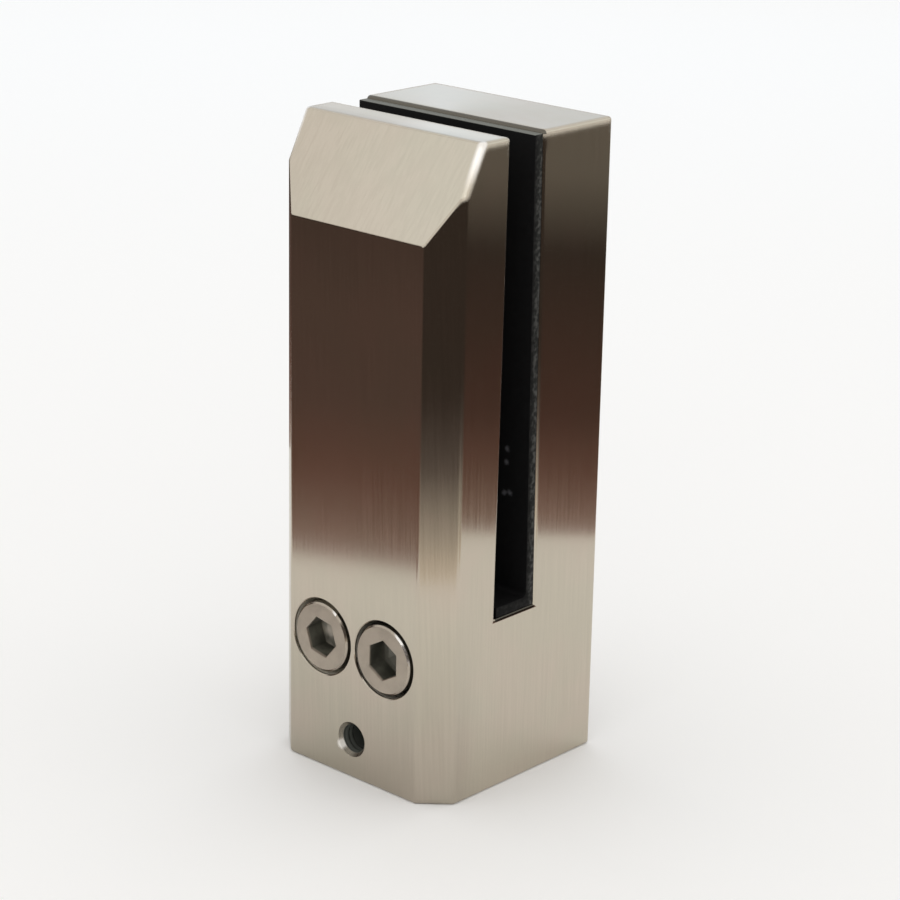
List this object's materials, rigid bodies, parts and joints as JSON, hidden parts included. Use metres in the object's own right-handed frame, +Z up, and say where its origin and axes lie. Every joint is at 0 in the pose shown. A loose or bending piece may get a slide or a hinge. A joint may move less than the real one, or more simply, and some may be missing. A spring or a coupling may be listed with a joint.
{
  "type": "side-mounted glass spigot",
  "caption": "Square steel post, screwed to a wall or slab edge through its base, with a rubber-lined slot open at the top and sides that grips the lower edge of a glass pane.",
  "frame": {"origin": "on the wall face, midway between the axes of the fixing screws", "axes": "+Y out of the wall face into the wall, +Z up towards the mouth of the slot, +X across the block"},
  "size_m": [0.052, 0.06, 0.147],
  "materials": {
    "brushed_block": "satin, brushed upright",
    "liner_rubber": "matt black, grey cut ends",
    "screw_steel": "satin, plain turned",
    "set_screw_steel": "dull"
  },
  "bodies": {
    "block": {"spigot_body": "brushed_block", "slot_liner": "liner_rubber", "fixing_screw_left": "screw_steel", "fixing_screw_right": "screw_steel"},
    "levelling": {"levelling_screw": "set_screw_steel"}
  },
  "joints": [
    {"name": "levelling_travel", "type": "slide", "parent": "block", "child": "levelling", "axis": [0, 1, 0], "range_m": [-0.02, 0.01]}
  ]
}
